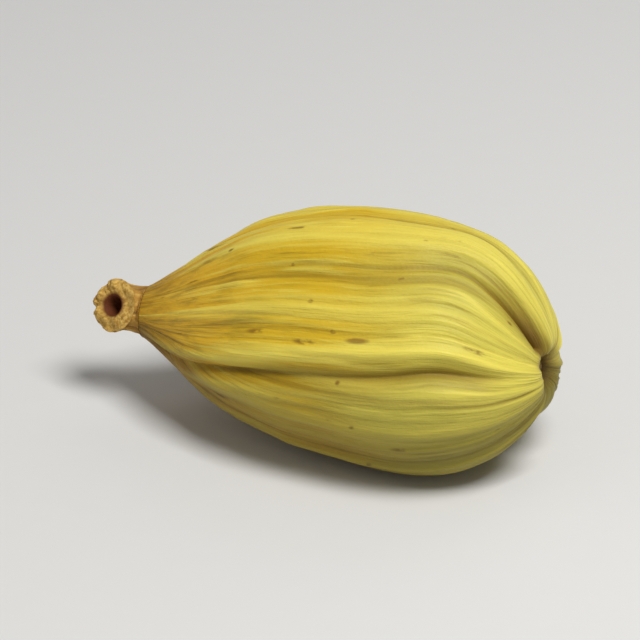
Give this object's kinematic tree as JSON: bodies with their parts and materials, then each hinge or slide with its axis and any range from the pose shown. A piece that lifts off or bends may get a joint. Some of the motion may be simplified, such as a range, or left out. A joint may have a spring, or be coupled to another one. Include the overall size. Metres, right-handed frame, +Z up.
{
  "type": "green cardamom pod",
  "caption": "Dried green cardamom pod lying on its side: a ribbed, three-lobed papery husk with a dimpled tip and the short hollow stub of its stalk.",
  "frame": {"origin": "on the surface that the pod rests on, under the middle of its bounding box", "axes": "+X along the pod from the stalk to the tip, -Y towards the side that the picture shows, +Z up"},
  "size_m": [0.0156, 0.0082, 0.0077],
  "materials": {
    "husk": "satin, fibrous, golden yellow-green",
    "stalk": "matt, fibrous, golden brown"
  },
  "bodies": {
    "root": {"husk": "husk", "stalk": "stalk"}
  },
  "joints": []
}
